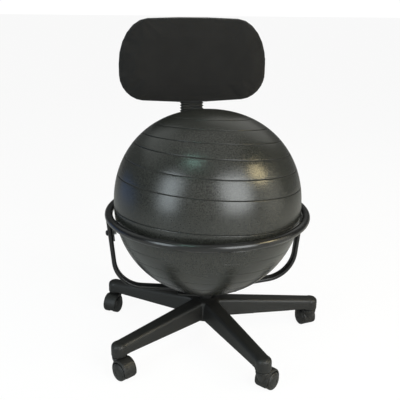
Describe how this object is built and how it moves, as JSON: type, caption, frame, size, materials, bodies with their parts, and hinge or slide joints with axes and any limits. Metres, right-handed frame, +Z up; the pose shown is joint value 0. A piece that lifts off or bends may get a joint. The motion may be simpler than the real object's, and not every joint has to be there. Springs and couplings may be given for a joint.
{
  "type": "balance ball chair",
  "caption": "Inflated ball seat held by a steel ring over a five-legged caster base, with a small padded backrest on a bent flat bar that slides for height.",
  "frame": {"origin": "on the floor, at the middle of the whole chair's bounding box; the axis of base and ball stands close beside it", "axes": "+Z up, the sitter faces -Y with the backrest at +Y, and the two support bars of the ring lie along X"},
  "size_m": [0.6428, 0.6768, 0.8985],
  "materials": {
    "nylon": "satin moulded black nylon",
    "wheel_plastic": "smooth moulded black wheels",
    "black_paint": "gloss black powder coat",
    "zinc": "bright zinc plate",
    "black_steel": "black oxide",
    "vinyl": "soft sheen charcoal vinyl",
    "plug": "soft moulded plug",
    "cloth": "black woven upholstery",
    "plywood": "bare plywood",
    "shell_plastic": "fine grained black moulding",
    "soft_pvc": "matt soft black bellows"
  },
  "bodies": {
    "frame": {"star_base": "nylon", "post_plate": "black_paint", "centre_washer": "zinc", "centre_bolt": "zinc", "caster_1_stem": "zinc", "caster_2_stem": "zinc", "caster_3_stem": "zinc", "caster_4_stem": "zinc", "caster_5_stem": "zinc", "support_bar_right": "black_paint", "support_bolt_right": "black_steel", "support_nut_right": "zinc", "plate_bolt_right_1": "zinc", "plate_bolt_right_2": "zinc", "support_bar_left": "black_paint", "support_bolt_left": "black_steel", "support_nut_left": "zinc", "plate_bolt_left_1": "zinc", "plate_bolt_left_2": "zinc", "ring": "black_paint", "back_bar": "black_paint", "plate_bolt_back_1": "zinc", "plate_bolt_back_2": "zinc", "ring_bolt_back": "black_steel", "bellows_clip": "shell_plastic", "bellows": "soft_pvc"},
    "ball": {"ball": "vinyl", "valve_plug": "plug"},
    "backrest": {"back_cushion": "cloth", "back_board": "plywood", "back_shell": "shell_plastic", "back_bracket": "black_paint", "shell_screw_1": "black_steel", "shell_screw_2": "black_steel", "shell_screw_3": "black_steel", "shell_screw_4": "black_steel", "bracket_screw_1": "zinc", "bracket_screw_2": "zinc"},
    "height_knob": {"height_knob": "shell_plastic"},
    "caster_1": {"caster_1_housing": "nylon", "caster_1_axle": "zinc"},
    "caster_1_wheel_left": {"caster_1_wheel_left": "wheel_plastic"},
    "caster_1_wheel_right": {"caster_1_wheel_right": "wheel_plastic"},
    "caster_2": {"caster_2_housing": "nylon", "caster_2_axle": "zinc"},
    "caster_2_wheel_left": {"caster_2_wheel_left": "wheel_plastic"},
    "caster_2_wheel_right": {"caster_2_wheel_right": "wheel_plastic"},
    "caster_3": {"caster_3_housing": "nylon", "caster_3_axle": "zinc"},
    "caster_3_wheel_left": {"caster_3_wheel_left": "wheel_plastic"},
    "caster_3_wheel_right": {"caster_3_wheel_right": "wheel_plastic"},
    "caster_4": {"caster_4_housing": "nylon", "caster_4_axle": "zinc"},
    "caster_4_wheel_left": {"caster_4_wheel_left": "wheel_plastic"},
    "caster_4_wheel_right": {"caster_4_wheel_right": "wheel_plastic"},
    "caster_5": {"caster_5_housing": "nylon", "caster_5_axle": "zinc"},
    "caster_5_wheel_left": {"caster_5_wheel_left": "wheel_plastic"},
    "caster_5_wheel_right": {"caster_5_wheel_right": "wheel_plastic"}
  },
  "joints": [
    {"name": "ball_lift_out", "type": "slide", "parent": "frame", "child": "ball", "axis": [0, 0, 1], "range_m": [0, 0.26]},
    {"name": "backrest_height", "type": "slide", "parent": "frame", "child": "backrest", "axis": [0, 0, 1], "range_m": [-0.04, 0.06], "deforming": ["bellows"]},
    {"name": "height_knob_turn", "type": "hinge", "parent": "backrest", "child": "height_knob", "pos_m": [-0.02311, 0.31758, 0.69742], "axis": [0, 1, 0], "range_deg": [0, 360]},
    {"name": "caster_1_swivel", "type": "hinge", "parent": "frame", "child": "caster_1", "pos_m": [0.29786, -0.01506, 0.05], "axis": [0, 0, 1], "continuous": true},
    {"name": "caster_1_roll_left", "type": "hinge", "parent": "caster_1", "child": "caster_1_wheel_left", "pos_m": [0.29302, 0.00435, 0.02452], "axis": [-0.9703, -0.2419, 0], "continuous": true},
    {"name": "caster_1_roll_right", "type": "hinge", "parent": "caster_1", "child": "caster_1_wheel_right", "pos_m": [0.29302, 0.00435, 0.02452], "axis": [-0.9703, -0.2419, 0], "continuous": true},
    {"name": "caster_2_swivel", "type": "hinge", "parent": "frame", "child": "caster_2", "pos_m": [0.08034, 0.2933, 0.05], "axis": [0, 0, 1], "continuous": true},
    {"name": "caster_2_roll_left", "type": "hinge", "parent": "caster_2", "child": "caster_2_wheel_left", "pos_m": [0.06154, 0.28646, 0.02452], "axis": [0.342, -0.9397, 0], "continuous": true},
    {"name": "caster_2_roll_right", "type": "hinge", "parent": "caster_2", "child": "caster_2_wheel_right", "pos_m": [0.06154, 0.28646, 0.02452], "axis": [0.342, -0.9397, 0], "continuous": true},
    {"name": "caster_3_swivel", "type": "hinge", "parent": "frame", "child": "caster_3", "pos_m": [-0.28015, 0.18171, 0.05], "axis": [0, 0, 1], "continuous": true},
    {"name": "caster_3_roll_left", "type": "hinge", "parent": "caster_3", "child": "caster_3_wheel_left", "pos_m": [-0.29015, 0.16439, 0.02452], "axis": [0.866, -0.5, 0], "continuous": true},
    {"name": "caster_3_roll_right", "type": "hinge", "parent": "caster_3", "child": "caster_3_wheel_right", "pos_m": [-0.29015, 0.16439, 0.02452], "axis": [0.866, -0.5, 0], "continuous": true},
    {"name": "caster_4_swivel", "type": "hinge", "parent": "frame", "child": "caster_4", "pos_m": [-0.28541, -0.19561, 0.05], "axis": [0, 0, 1], "continuous": true},
    {"name": "caster_4_roll_left", "type": "hinge", "parent": "caster_4", "child": "caster_4_wheel_left", "pos_m": [-0.27394, -0.21199, 0.02452], "axis": [0.8192, 0.5736, 0], "continuous": true},
    {"name": "caster_4_roll_right", "type": "hinge", "parent": "caster_4", "child": "caster_4_wheel_right", "pos_m": [-0.27394, -0.21199, 0.02452], "axis": [0.8192, 0.5736, 0], "continuous": true},
    {"name": "caster_5_swivel", "type": "hinge", "parent": "frame", "child": "caster_5", "pos_m": [0.07181, -0.31722, 0.05], "axis": [0, 0, 1], "continuous": true},
    {"name": "caster_5_roll_left", "type": "hinge", "parent": "caster_5", "child": "caster_5_wheel_left", "pos_m": [0.08713, -0.30436, 0.02452], "axis": [-0.6428, 0.766, 0], "continuous": true},
    {"name": "caster_5_roll_right", "type": "hinge", "parent": "caster_5", "child": "caster_5_wheel_right", "pos_m": [0.08713, -0.30436, 0.02452], "axis": [-0.6428, 0.766, 0], "continuous": true}
  ]
}
